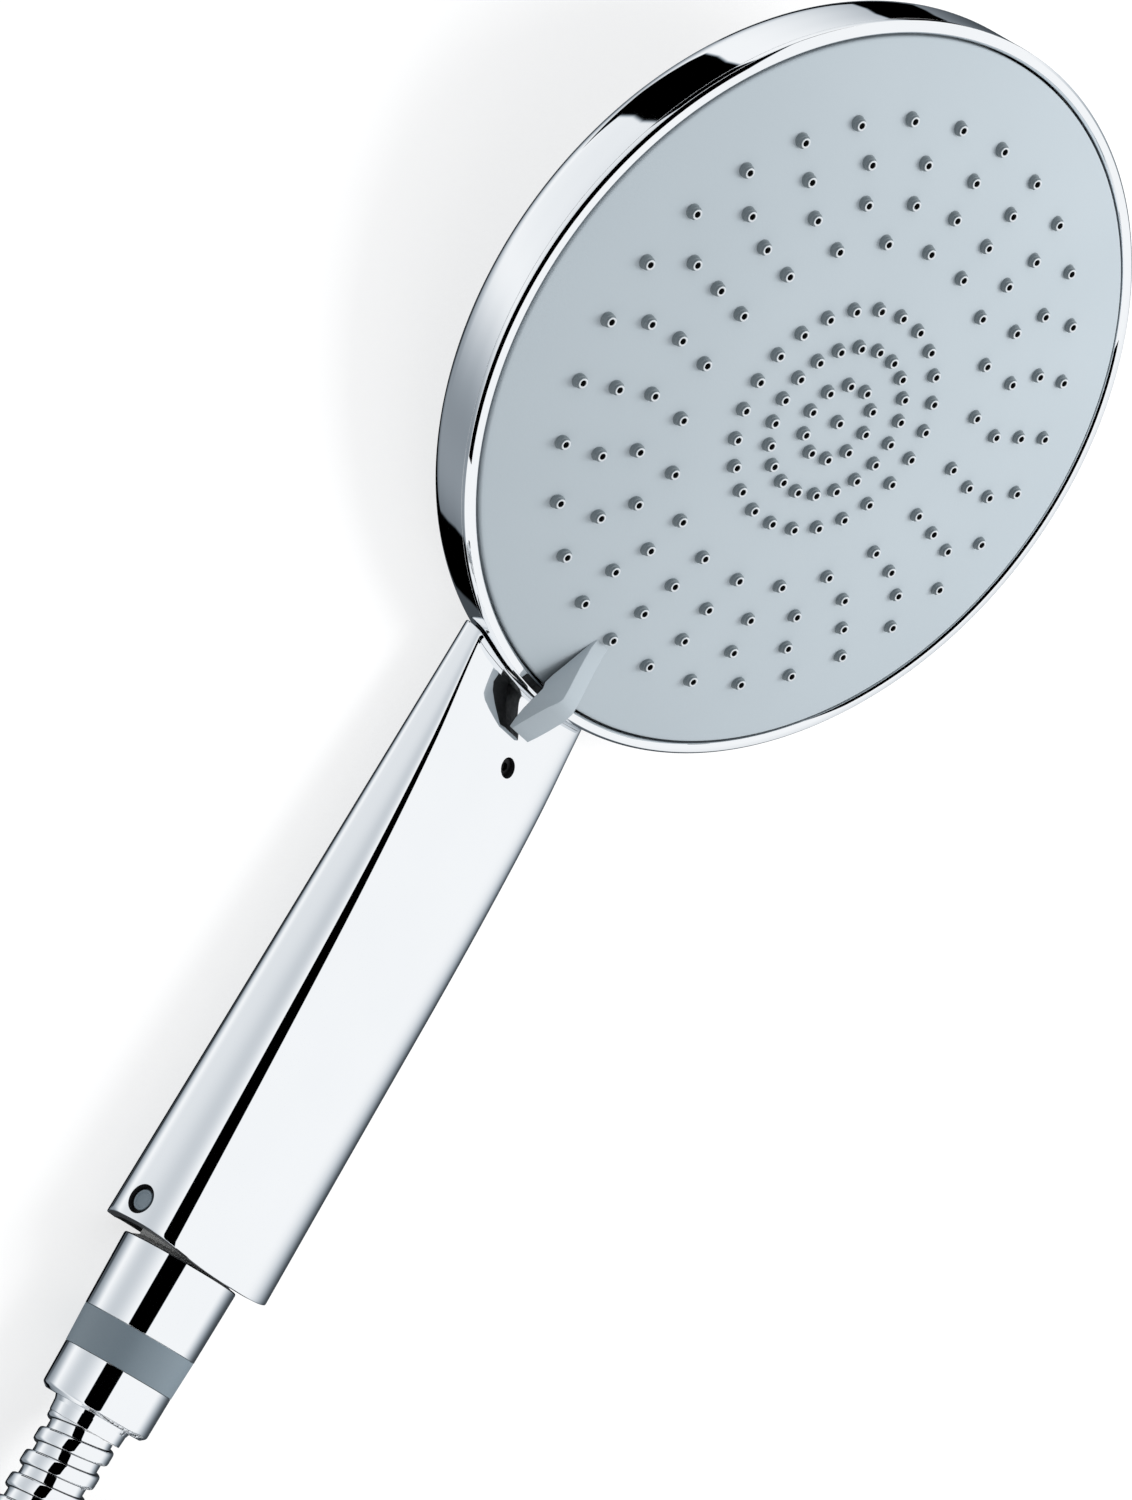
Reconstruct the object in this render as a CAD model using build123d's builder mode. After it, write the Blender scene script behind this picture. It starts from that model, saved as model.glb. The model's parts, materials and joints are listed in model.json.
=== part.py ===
from build123d import *
import os
from math import sin, cos, tan, radians, degrees, pi, sqrt

# Handheld shower head, lying on its back with the spray face up.
# Units are millimetres and +Z is up. The handle runs along -Y towards the hose.
# The origin is the middle of the underside of the shower head without its hose.

# ---- driving dimensions -------------------------------------------------
head_radius = 75.15          # outside of the head at the bezel seam
face_radius = 72.3           # turning spray face
face_dome_radius = 352.0     # the spray face is a shallow dome
handle_rise = 2.3            # the handle axis rises towards the hose
face_tilt = 15.3             # the spray face leans towards the hose
axis_to_face = 38.4          # face crown in front of the handle axis
cross_y = 85.303             # where the handle axis crosses the axis of the face
cross_z = 4.32
handle_end = 203.2           # along the handle axis from that crossing
shell_wall = 2.4
handle_wall = 1.8

seam_depth = 9.0             # bezel seam, behind the crown of the face
bezel_front_depth = 7.2
shell_back_depth = 33.0
plate_front_depth = 11.6     # fixed chamber plate
plate_back_depth = 13.6

hose_diameter = 14.0
thread_radius = 10.48        # G1/2, 20.96 mm over the threads
nut_start = 203.35
nut_radius = 11.6
band_start = 217.9
band_end = 225.4
nut_end = 234.4
ferrule_end = 237.4
end_nut_flat = 12.0          # half the width across the far nut's flats
hose_length = 1500.0
coil_radius = 77.0           # hose centre line in the coil
coil_center_x = 63.0
coil_center_y = -250.0

# ring radius, number of nozzles, angle of the first one
nozzle_rings = [
    (7.5, 10, 18),
    (15.0, 20, 0),
    (22.45, 24, 0),
    (35.1, 20, 0),
    (42.65, 24, 0),
    (50.15, 24, 0),
    (57.7, 30, 6),
]
nozzle_radius = 1.3
nozzle_tip_radius = 1.0
nozzle_bore_radius = 0.54
nozzle_stand = 1.33          # how far a nozzle stands out of the face
collar_stand = 0.84


os.makedirs("parts", exist_ok=True)

# ---- planes and axes ----------------------------------------------------
along = Vector(0, -cos(radians(handle_rise)), sin(radians(handle_rise)))
forward = Vector(0, sin(radians(handle_rise)), cos(radians(handle_rise)))
outward = Vector(0, -sin(radians(face_tilt)), cos(radians(face_tilt)))
crossing = Vector(0, cross_y, cross_z)
crown = crossing + outward * axis_to_face
sideways = Vector(1, 0, 0)

face_axis = Axis(crown, outward)
handle_axis = Axis(crossing, along)
# half-section planes: local x is the radius, local y runs along the axis
face_section = Plane(origin=crown, x_dir=sideways, z_dir=sideways.cross(outward))
handle_section = Plane(origin=crossing, x_dir=sideways, z_dir=sideways.cross(along))


def handle_plane(s):
    """Plane across the handle at s along its axis; local y points to the front."""
    return Plane(origin=crossing + along * s, x_dir=sideways, z_dir=along)


def face_plane(depth):
    """Plane across the head at a depth behind the crown of the face."""
    return Plane(origin=crown - outward * depth, x_dir=sideways, z_dir=outward)


def dome_depth(r):
    return face_dome_radius - sqrt(face_dome_radius ** 2 - r ** 2)


def turned(section, axis, profile):
    """A turned piece from its half section, given as (radius, place along the axis)."""
    with BuildPart() as piece:
        with BuildSketch(section):
            with BuildLine():
                Polyline(*profile, close=True)
            make_face()
        revolve(axis=axis)
    return piece


def head_turned(profile):
    return turned(face_section, face_axis, [(r, -depth) for r, depth in profile])


def handle_turned(profile):
    return turned(handle_section, handle_axis, profile)


def save(piece, name):
    piece.part.label = name
    export_step(piece.part, f"parts/{name}.step")


# ---- handle shell -------------------------------------------------------
# stations: place, half width, front, back, widest level, front and back squareness
handle_stations = [
    (68.0, 18.7, 3.0, 7.1, -0.4, 9.0, 2.0),
    (82.0, 18.6, 4.6, 7.6, -0.5, 8.5, 2.0),
    (100.0, 18.4, 7.3, 8.3, -0.7, 6.5, 2.1),
    (130.0, 18.1, 9.9, 9.5, -1.0, 4.8, 2.2),
    (165.0, 17.8, 11.6, 10.9, -1.3, 3.8, 2.25),
    (210.0, 17.5, 13.3, 12.75, -1.6, 3.2, 2.3),
]
section_points = 40


def handle_outline(station, inset):
    """Points of the rounded handle section, a squarer curve in front of a softer one."""
    _, half_width, front, back, level, front_power, back_power = station
    points = []
    for i in range(section_points):
        turn = 2 * pi * i / section_points
        c = cos(turn)
        v = sin(turn)
        if v >= 0:
            power = front_power
            reach = front - level - inset
        else:
            power = back_power
            reach = back + level - inset
        x = (half_width - inset) * abs(c) ** (2 / power) * (1 if c >= 0 else -1)
        y = level + reach * abs(v) ** (2 / power) * (1 if v >= 0 else -1)
        points.append((x, y))
    return points


def handle_loft(inset):
    with BuildPart() as body:
        for station in handle_stations:
            with BuildSketch(handle_plane(station[0])):
                with BuildLine():
                    Spline(*handle_outline(station, inset), periodic=True)
                make_face()
        loft()
    return body


handle_core = handle_loft(handle_wall)
head_clearance = 0.25
handle_front = Plane(origin=crossing, x_dir=sideways, z_dir=forward)
handle_left = Plane(origin=crossing, x_dir=along, z_dir=-sideways)
hole_radius = 1.85
grub_radius = 1.7
button_hole_radius = 2.65
screw_count = 6
boss_circle = 62.0
boss_start = 30
screw_shank = 1.4
screw_head = 2.6
pivot_shank = 1.7
click_angle = 70
click_step = 20
button_radius = 2.3
button_flange = 3.3
button_face = 17.15
end_crown = 1.6              # the end of the handle is slightly barrelled
end_curve = 17.5 ** 2 / (2 * end_crown)
end_slant = 2.0
hole_place = 94.7
hole_offset = 2.3
button_place = 197.7
button_level = 0.4

with BuildPart() as handle_shell:
    add(handle_loft(0).part)
    # the top of the handle follows the round of the head
    with BuildSketch(face_plane(60)):
        Circle(head_radius + head_clearance)
    extrude(amount=80, mode=Mode.SUBTRACT)
    # barrelled lower end
    with BuildSketch(Plane(origin=crossing + along * (handle_end - end_curve), z_dir=forward)):
        Circle(end_curve)
    extrude(amount=40, both=True, mode=Mode.INTERSECT)
    # the back of that end is a little shorter than its front
    with BuildSketch(Plane(origin=crossing, x_dir=forward, z_dir=sideways)):
        with BuildLine():
            Polyline(
                (-1.6, handle_end),
                (-16, handle_end - end_slant),
                (-16, handle_end + 10),
                (-1.6, handle_end + 10),
                close=True,
            )
        make_face()
    extrude(amount=25, both=True, mode=Mode.SUBTRACT)
    add(handle_core.part, mode=Mode.SUBTRACT)
    # screw hole in the front
    with BuildSketch(handle_front):
        with Locations((hole_offset, -hole_place)):
            Circle(hole_radius)
    extrude(amount=20, mode=Mode.SUBTRACT)
    # button hole in the left side
    with BuildSketch(handle_left):
        with Locations((button_place, button_level)):
            Circle(button_hole_radius)
    extrude(amount=30, mode=Mode.SUBTRACT)
save(handle_shell, "handle_shell")

# ---- head shell with the neck that the handle slides over ---------------
shell_inner = head_radius - shell_wall
neck_end = 97.5
neck_level = -1.2
socket_start = 95.0
socket_end = 105.0
tube_radius = 3.4
tube_bore = 2.6
tube_start = 97.7
tube_end = 176.0
screw_foot = 3.0             # the fixing screw's foot, in front of the handle axis
fit = 0.05

with BuildPart() as head_shell:
    with BuildSketch(face_section):
        with BuildLine():
            Line((head_radius, -seam_depth), (head_radius - 0.25, -20.6))
            ThreePointArc((head_radius - 0.25, -20.6), (38.5, -29.75), (0, -shell_back_depth))
            Line((0, -shell_back_depth), (0, shell_wall - shell_back_depth))
            ThreePointArc((0, shell_wall - shell_back_depth), (37.5, -27.45), (shell_inner - 0.2, -18.7))
            Line((shell_inner - 0.2, -18.7), (shell_inner, -seam_depth))
            Line((shell_inner, -seam_depth), (head_radius, -seam_depth))
        make_face()
    revolve(axis=face_axis)
    rear_edges = [
        edge for edge in head_shell.edges().filter_by(GeomType.CIRCLE)
        if edge.radius > shell_inner and (edge.arc_center - crown).dot(outward) < -20
    ]
    fillet(rear_edges, radius=5)
    # groove that the bezel's tongue is glued in
    with BuildSketch(face_plane(seam_depth)):
        Circle(74.35)
        Circle(73.45, mode=Mode.SUBTRACT)
    extrude(amount=-2.3, mode=Mode.SUBTRACT)
    # neck: a flat channel, then a round socket for the water tube
    with BuildSketch(handle_plane(72)):
        with Locations((0, neck_level)):
            SlotOverall(24, 5.0)
    extrude(amount=neck_end - 72)
    with BuildSketch(handle_plane(socket_start)):
        Circle(tube_radius + 1)
    extrude(amount=socket_end - socket_start)
    # pad for the fixing screw
    with BuildSketch(handle_front):
        with Locations((hole_offset, -hole_place)):
            Circle(3.2)
    extrude(amount=4.0)
    # bosses for the chamber screws
    with BuildSketch(face_plane(plate_back_depth + 0.1)):
        with PolarLocations(boss_circle, screw_count, boss_start):
            Circle(3.2)
    extrude(amount=-9.5)
    # the neck is clear of the chamber
    with BuildSketch(face_section):
        with BuildLine():
            Polyline((0, -7), (shell_inner, -7), (shell_inner, -15.5), (0, -15.5), close=True)
        make_face()
    revolve(axis=face_axis, mode=Mode.SUBTRACT)
    with BuildSketch(face_plane(15.7)):
        with PolarLocations(boss_circle, screw_count, boss_start):
            Circle(3.2)
    extrude(amount=15.7 - plate_back_depth - 0.1)
    # water way, tube socket, screw holes
    with BuildSketch(handle_plane(64)):
        with Locations((0, neck_level)):
            SlotOverall(18, 2.6)
    extrude(amount=socket_start + 1 - 64, mode=Mode.SUBTRACT)
    with BuildSketch(handle_plane(socket_start)):
        Circle(tube_bore)
    extrude(amount=20, mode=Mode.SUBTRACT)
    with BuildSketch(handle_plane(tube_start - 1.2)):
        Circle(tube_radius + fit)
    extrude(amount=20, mode=Mode.SUBTRACT)
    with BuildSketch(handle_front.offset(screw_foot - 0.1)):
        with Locations((hole_offset, -hole_place)):
            Circle(grub_radius)
    extrude(amount=10, mode=Mode.SUBTRACT)
    with BuildSketch(face_plane(10)):
        with PolarLocations(boss_circle, screw_count, boss_start):
            Circle(screw_shank)
    extrude(amount=-9.5, mode=Mode.SUBTRACT)
save(head_shell, "head_shell")

with BuildPart() as fixing_screw:
    with BuildSketch(handle_front.offset(screw_foot)):
        with Locations((hole_offset, -hole_place)):
            Circle(grub_radius - fit)
    extrude(amount=2.6)
    with BuildSketch(handle_front.offset(screw_foot + 1.4)):
        with Locations((hole_offset, -hole_place)):
            RegularPolygon(0.9, 6)
    extrude(amount=3, mode=Mode.SUBTRACT)
save(fixing_screw, "fixing_screw")

# ---- bezel ring ---------------------------------------------------------
bezel_inner = face_radius + 0.3
bezel_ring = head_turned([
    (bezel_inner, bezel_front_depth + 0.35),
    (bezel_inner + 0.6, bezel_front_depth),
    (head_radius - 0.6, bezel_front_depth + 0.65),
    (head_radius, seam_depth - 0.5),
    (head_radius, seam_depth - 0.05),
    (74.3, seam_depth - 0.05),
    (74.3, seam_depth + 2.0),
    (73.5, seam_depth + 2.0),
    (73.5, seam_depth - 0.05),
    (bezel_inner, seam_depth - 0.05),
])
save(bezel_ring, "bezel_ring")

# ---- fixed chamber plate ------------------------------------------------
spigot_radius = 3.9
spigot_depth = 6.6
ports = [(18.0, 30), (39.0, 150), (54.0, 270)]
port_radius = 2.6
port_seal_radius = 3.9

with BuildPart() as chamber_plate:
    with BuildSketch(face_section):
        with BuildLine():
            Polyline(
                (0, -spigot_depth),
                (spigot_radius, -spigot_depth),
                (spigot_radius, -plate_front_depth),
                (72.2, -plate_front_depth),
                (72.2, -12.4),
                (70.7, -12.4),
                (70.7, -14.2),
                (72.2, -14.2),
                (72.2, -15.0),
                (68.0, -15.0),
                (68.0, -plate_back_depth),
                (0, -plate_back_depth),
                close=True,
            )
        make_face()
    revolve(axis=face_axis)
    with BuildSketch(face_plane(5)):
        Circle(pivot_shank)
    extrude(amount=-7.2, mode=Mode.SUBTRACT)
    for radius, angle in ports:
        with BuildSketch(face_plane(5)):
            with PolarLocations(radius, 1, angle):
                Circle(port_radius)
        extrude(amount=-12, mode=Mode.SUBTRACT)
        with BuildSketch(face_plane(12.7)):
            with PolarLocations(radius, 1, angle):
                Circle(port_seal_radius + fit)
        extrude(amount=4, mode=Mode.SUBTRACT)
    with BuildSketch(face_plane(12.7)):
        with PolarLocations(boss_circle, screw_count, boss_start):
            Circle(screw_head + 0.15)
    extrude(amount=4, mode=Mode.SUBTRACT)
    with BuildSketch(face_plane(16)):
        with PolarLocations(boss_circle, screw_count, boss_start):
            Circle(screw_shank + 0.15)
    extrude(amount=6, mode=Mode.SUBTRACT)
save(chamber_plate, "chamber_plate")

with BuildPart() as chamber_screws:
    with BuildSketch(face_plane(11.75)):
        with PolarLocations(boss_circle, screw_count, boss_start):
            Circle(screw_head)
    extrude(amount=-0.9)
    with BuildSketch(face_plane(12)):
        with PolarLocations(boss_circle, screw_count, boss_start):
            Circle(screw_shank - fit)
    extrude(amount=-7)
    with BuildSketch(face_plane(11.7)):
        with PolarLocations(boss_circle, screw_count, boss_start):
            Rectangle(2.6, 0.5)
            Rectangle(0.5, 2.6)
    extrude(amount=-0.5, mode=Mode.SUBTRACT)
save(chamber_screws, "chamber_screws")

gasket_section = 0.72
with BuildPart() as head_gasket:
    with BuildSketch(face_section):
        with Locations((71.55, -13.3)):
            Circle(gasket_section)
    revolve(axis=face_axis)
save(head_gasket, "head_gasket")

with BuildPart() as port_seals:
    for radius, angle in ports:
        with BuildSketch(face_plane(12.65)):
            with PolarLocations(radius, 1, angle):
                Circle(port_seal_radius)
                Circle(port_radius, mode=Mode.SUBTRACT)
        extrude(amount=1.35)
save(port_seals, "port_seals")

hub_seal_radius = 5.0
with BuildPart() as hub_seal:
    with BuildSketch(face_section):
        with Locations((hub_seal_radius, -10.75)):
            Circle(0.75)
    revolve(axis=face_axis)
save(hub_seal, "hub_seal")

pivot_screw = head_turned([
    (0, spigot_depth - 1.55),
    (4.9, spigot_depth - 1.55),
    (5.4, spigot_depth - 1.1),
    (5.4, spigot_depth - 0.05),
    (pivot_shank - fit, spigot_depth - 0.05),
    (pivot_shank - fit, spigot_depth + 5),
    (0, spigot_depth + 5),
])
save(pivot_screw, "pivot_screw")

# ---- turning spray face -------------------------------------------------
plate_thickness = 2.5
mat_thickness = 1.2
mat_radius = 62.0


def dome_arc(radius, extra):
    """Arc of the dome at an extra depth, from the crown out to a radius."""
    middle = radius / 2
    return ThreePointArc(
        (0, -extra),
        (middle, -dome_depth(middle) - extra),
        (radius, -dome_depth(radius) - extra),
    )


face_edge_depth = dome_depth(face_radius)
skirt_depth = 10.3
lever_root = 57.0
lever_tip = 82.3

lever_view = Plane(origin=crown, x_dir=sideways.cross(outward), z_dir=-sideways)
# half width of the lever at places along it
lever_plan = [
    (lever_root - 0.5, 0.9),
    (61.4, 2.0),
    (67.0, 3.6),
    (72.0, 4.3),
    (76.0, 4.5),
    (80.5, 3.75),
    (lever_tip + 0.2, 3.1),
]

with BuildPart() as lever:
    with BuildSketch(lever_view):
        with BuildLine():
            root = (lever_root, -dome_depth(lever_root) - 1.2)
            foot = (lever_root + 0.6, -dome_depth(lever_root) + 0.1)
            over_bezel = (bezel_inner, 0.6 - bezel_front_depth)
            crest = (72.4, -0.75)
            Line(root, foot)
            Spline(foot, (64.0, -3.4), (68.0, -2.1), crest)
            Polyline(crest, (lever_tip, -4.7), (lever_tip, -5.6), (79.5, -5.8), over_bezel)
            Polyline(over_bezel, (face_radius - 1.5, -face_edge_depth - 0.5), root)
        make_face()
    extrude(amount=6, both=True)
    with BuildSketch(face_plane(20)):
        with BuildLine():
            Polyline(
                *[(x, -y) for y, x in lever_plan],
                *[(-x, -y) for y, x in reversed(lever_plan)],
                close=True,
            )
        make_face()
    extrude(amount=30, mode=Mode.INTERSECT)

with BuildPart() as face_plate:
    with BuildSketch(face_section):
        with BuildLine():
            dome_arc(face_radius, 0)
            Polyline(
                (face_radius, -face_edge_depth),
                (face_radius, -skirt_depth),
                (70.2, -skirt_depth),
                (70.2, -dome_depth(70.2) - plate_thickness),
            )
            dome_arc(70.2, plate_thickness)
            Line((0, -plate_thickness), (0, 0))
        make_face()
    revolve(axis=face_axis)
    add(lever.part)
    with BuildSketch(face_plane(15)):
        Circle(nozzle_radius + fit)
        for radius, count, start in nozzle_rings:
            with PolarLocations(radius, count, start):
                Circle(nozzle_radius + fit)
    extrude(amount=16, mode=Mode.SUBTRACT)
save(face_plate, "face_plate")

with BuildPart() as nozzle_mat:
    with BuildSketch(face_section):
        with BuildLine():
            dome_arc(mat_radius, plate_thickness + fit)
            Line(
                (mat_radius, -dome_depth(mat_radius) - plate_thickness - fit),
                (mat_radius, -dome_depth(mat_radius) - plate_thickness - mat_thickness),
            )
            dome_arc(mat_radius, plate_thickness + mat_thickness)
            Line((0, -plate_thickness - mat_thickness), (0, -plate_thickness - fit))
        make_face()
    revolve(axis=face_axis)
    for radius, count, start in [(0, 1, 0)] + nozzle_rings:
        with BuildSketch(face_plane(dome_depth(radius) - collar_stand)):
            with PolarLocations(radius, count, start):
                Circle(nozzle_radius)
        extrude(amount=-collar_stand - plate_thickness - 0.5)
        with BuildSketch(face_plane(dome_depth(radius) - nozzle_stand)):
            with PolarLocations(radius, count, start):
                Circle(nozzle_tip_radius)
        extrude(amount=-nozzle_stand)
    with BuildSketch(face_plane(12)):
        Circle(nozzle_bore_radius)
        for radius, count, start in nozzle_rings:
            with PolarLocations(radius, count, start):
                Circle(nozzle_bore_radius)
    extrude(amount=16, mode=Mode.SUBTRACT)
save(nozzle_mat, "nozzle_mat")

# distribution disc: walls part the water into three sprays
disc_front_depth = 9.5
disc_back_depth = 11.2
disc_radius = 66.0
wall_circles = [28.8, 46.4, 60.6]
hub_radius = 7.0

with BuildPart() as spray_disc:
    with BuildSketch(face_plane(disc_back_depth)):
        Circle(disc_radius)
    extrude(amount=disc_back_depth - disc_front_depth)
    for radius in wall_circles:
        with BuildSketch(face_plane(disc_front_depth + 0.5)):
            Circle(radius + 0.7)
            Circle(radius - 0.7, mode=Mode.SUBTRACT)
        extrude(amount=disc_front_depth + 0.5 - dome_depth(radius + 0.7) - plate_thickness - mat_thickness - fit)
    with BuildSketch(face_plane(disc_back_depth)):
        Circle(hub_radius)
    extrude(amount=disc_back_depth - spigot_depth - 0.05)
    with BuildSketch(face_plane(12)):
        Circle(spigot_radius + fit)
    extrude(amount=8, mode=Mode.SUBTRACT)
    with BuildSketch(face_plane(12)):
        Circle(hub_seal_radius + 0.85)
    extrude(amount=12 - 9.95, mode=Mode.SUBTRACT)
    # each port meets its own in the chamber plate at one click of the face
    for click, (radius, angle) in zip((1, 0, -1), ports):
        with BuildSketch(face_plane(12)):
            with PolarLocations(radius, 1, angle - click * click_step):
                Circle(port_radius)
        extrude(amount=12 - disc_front_depth, mode=Mode.SUBTRACT)
    # notches that the click spring drops into
    with BuildSketch(face_plane(12)):
        with PolarLocations(disc_radius, 3, click_angle - click_step, click_step * 3, endpoint=False):
            Circle(1.3)
    extrude(amount=12 - disc_front_depth, mode=Mode.SUBTRACT)
save(spray_disc, "spray_disc")

with BuildPart() as click_spring:
    with BuildSketch(face_plane(plate_front_depth - 0.02)):
        with PolarLocations(disc_radius + 2.4, 1, click_angle):
            Rectangle(0.5, 16)
            with Locations((-1.7, 0)):
                Rectangle(3.4, 1.4)
    extrude(amount=1.9)
save(click_spring, "click_spring")

# ---- inside the handle --------------------------------------------------
water_tube = handle_turned([
    (tube_bore, tube_start),
    (tube_radius, tube_start),
    (tube_radius, tube_end),
    (tube_bore, tube_end),
])
save(water_tube, "water_tube")

with BuildPart() as tube_o_rings:
    with BuildSketch(handle_section):
        with Locations((3.0, tube_start - 0.6), (3.0, tube_end + 0.6)):
            Circle(0.42)
    revolve(axis=handle_axis)
save(tube_o_rings, "tube_o_rings")

inlet_bore = 6.0
thread_end = 215.8
inlet_connector = handle_turned([
    (tube_radius + fit, 166.0),
    (6.5, 166.0),
    (9.0, 180.0),
    (9.0, 202.6),
    (thread_radius, 203.2),
    (thread_radius, thread_end - 0.8),
    (thread_radius - 0.8, thread_end),
    (inlet_bore, thread_end),
    (inlet_bore, 182.0),
    (tube_bore, tube_end + 1.2),
    (tube_radius + fit, tube_end + 1.2),
])
save(inlet_connector, "inlet_connector")

plug_station = (198.0, 17.58, 12.85, 12.26, -1.52, 3.36, 2.29)
plug_start = 195.0
plug_end = 201.3
with BuildPart() as end_plug:
    with BuildSketch(handle_plane(plug_start)):
        with BuildLine():
            Spline(*handle_outline(plug_station, handle_wall + 0.9), periodic=True)
        make_face()
        Circle(9.0 + fit, mode=Mode.SUBTRACT)
    extrude(amount=plug_end - plug_start)
    with BuildSketch(handle_left):
        with Locations((button_place, button_level)):
            Circle(button_flange + 0.15)
    extrude(amount=30, mode=Mode.SUBTRACT)
save(end_plug, "end_plug")

with BuildPart() as release_button:
    with BuildSketch(handle_left.offset(button_face)):
        with Locations((button_place, button_level)):
            Circle(button_radius)
    extrude(amount=-5)
    fillet(release_button.edges().group_by(Axis.X)[0], radius=0.3)
    with BuildSketch(handle_left.offset(15.2)):
        with Locations((button_place, button_level)):
            Circle(button_flange)
    extrude(amount=-3.2)
    with BuildSketch(handle_left.offset(11.9)):
        with Locations((button_place, button_level)):
            Circle(1.9)
    extrude(amount=3.6, mode=Mode.SUBTRACT)
save(release_button, "release_button")

spring_foot = crossing + along * button_place + forward * button_level - sideways * 9.35
with BuildPart() as button_spring:
    with BuildLine() as spring_line:
        Helix(pitch=1.17, height=5.85, radius=1.3, center=spring_foot, direction=-sideways)
    with BuildSketch(Plane(origin=spring_line.line @ 0, z_dir=spring_line.line % 0)):
        Circle(0.22)
    sweep(path=spring_line.line, is_frenet=True)
save(button_spring, "button_spring")

with BuildPart() as flow_regulator:
    with BuildSketch(handle_plane(206)):
        Circle(inlet_bore - fit)
        with PolarLocations(3.4, 8):
            Circle(0.9, mode=Mode.SUBTRACT)
    extrude(amount=3)
save(flow_regulator, "flow_regulator")

with BuildPart() as inlet_strainer:
    with BuildSketch(handle_plane(212.5)):
        Circle(inlet_bore - fit)
        with GridLocations(1.4, 1.4, 6, 6):
            Rectangle(0.8, 0.8, mode=Mode.SUBTRACT)
    extrude(amount=0.6)
    with BuildSketch(handle_plane(212.5)):
        Circle(inlet_bore - fit)
        Circle(inlet_bore - 0.7, mode=Mode.SUBTRACT)
    extrude(amount=3)
save(inlet_strainer, "inlet_strainer")

# ---- union nut, turning on the hose -------------------------------------
nut_sleeve = handle_turned([
    (thread_radius + fit, nut_start),
    (nut_radius - 0.7, nut_start),
    (nut_radius, nut_start + 0.8),
    (11.25, band_start - 0.05),
    (10.0, band_start - 0.05),
    (10.0, 223.0),
    (8.9, 223.0),
    (8.9, 229.0),
    (7.7, 229.0),
    (7.7, 221.1),
    (9.1, 221.1),
    (9.1, 216.6),
    (thread_radius + fit, 216.6),
])
save(nut_sleeve, "nut_sleeve")

grip_band = handle_turned([
    (10.02, band_start),
    (11.2, band_start),
    (10.88, band_end - 0.05),
    (10.02, band_end - 0.05),
])
save(grip_band, "grip_band")

with BuildPart() as lower_sleeve:
    with BuildSketch(handle_section):
        with BuildLine():
            Polyline(
                (8.92, band_end),
                (10.8, band_end),
                (10.68, nut_end - 1.2),
                (9.5, nut_end),
                (8.3, nut_end),
                (8.3, 229.2),
                (8.92, 229.2),
                close=True,
            )
        make_face()
    revolve(axis=handle_axis)
save(lower_sleeve, "lower_sleeve")

hose_insert = handle_turned([
    (3.8, 218.0),
    (8.8, 218.0),
    (8.8, 220.8),
    (7.4, 220.8),
    (7.4, 229.3),
    (5.2, 229.3),
    (5.2, ferrule_end - 0.1),
    (3.8, ferrule_end - 0.1),
])
save(hose_insert, "hose_insert")

with BuildPart() as hose_washer:
    with BuildSketch(handle_plane(thread_end + 0.1)):
        Circle(8.8)
        Circle(4.8, mode=Mode.SUBTRACT)
    extrude(amount=218.0 - thread_end - 0.15)
save(hose_washer, "hose_washer")

ferrule = handle_turned([
    (5.25, 229.4),
    (7.9, 229.4),
    (7.9, 233.4),
    (7.15, 235.4),
    (7.15, ferrule_end - 0.05),
    (5.25, ferrule_end - 0.05),
])
save(ferrule, "ferrule")

# ---- hose ---------------------------------------------------------------
hose_radius = hose_diameter / 2
floor_gap = 0.05

hose_start = crossing + along * ferrule_end
hose_route = [
    hose_start,
    hose_start + along * 33.3,
    Vector(-9.5, -218, 8.0),
    Vector(coil_center_x - coil_radius, coil_center_y, hose_radius + floor_gap),
]


def route_radii(route):
    """The largest neat arc at each corner of a route."""
    radii = []
    for before, here, after in zip(route, route[1:], route[2:]):
        turn = (here - before).get_angle(after - here)
        run = min((here - before).length, (after - here).length)
        radii.append(0.45 * run / tan(radians(turn) / 2))
    return radii


hose_radii = route_radii(hose_route)
print("hose radii", [round(r, 1) for r in hose_radii])

with BuildPart() as hose:
    with BuildLine() as hose_line:
        FilletPolyline(*hose_route, radius=hose_radii)
    with BuildSketch(Plane(origin=hose_start, z_dir=along)):
        Circle(hose_radius)
    sweep(path=hose_line.line)
tube_length = sum(edge.length for edge in hose_line.edges())
print("hose tube", tube_length, hose.part.volume / (pi * hose_radius ** 2))

# the rest of the length: two full turns and part of a third on top of them
coil_angle = degrees((hose_length - tube_length) / coil_radius)
top_turn = coil_angle - 720
lift_turn = 30
lift_height = 21.5
print("third turn", top_turn)
coil_center = Vector(coil_center_x, coil_center_y, 0)
coil_axis = Axis(coil_center, (0, 0, 1))
coil_section = Plane(origin=coil_center, x_dir=(-1, 0, 0), z_dir=(0, 1, 0))

lift_angle = radians(180 + top_turn - lift_turn)
lift_out = Vector(cos(lift_angle), sin(lift_angle), 0)
lift_section = Plane(origin=coil_center, x_dir=lift_out, z_dir=lift_out.cross(Vector(0, 0, 1)))

with BuildPart() as hose_coil:
    with BuildSketch(coil_section):
        with Locations((coil_radius, floor_gap + hose_diameter)):
            Rectangle(hose_diameter, 2 * hose_diameter)
    revolve(axis=coil_axis)
    with BuildSketch(coil_section):
        with Locations((coil_radius, floor_gap + 2.5 * hose_diameter)):
            Rectangle(hose_diameter, hose_diameter)
    revolve(axis=coil_axis, revolution_arc=top_turn)
    # the end of the hose lifts so that its nut lies on the coil
    with BuildSketch(lift_section):
        with Locations((coil_radius, floor_gap + 2 * hose_diameter + lift_height / 2)):
            Rectangle(hose_diameter, lift_height)
    revolve(axis=coil_axis, revolution_arc=lift_turn)
save(hose_coil, "hose_coil")

with BuildPart() as hose_end:
    add(hose.part)
    add(hose_coil.part, mode=Mode.SUBTRACT)
save(hose_end, "hose")

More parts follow.
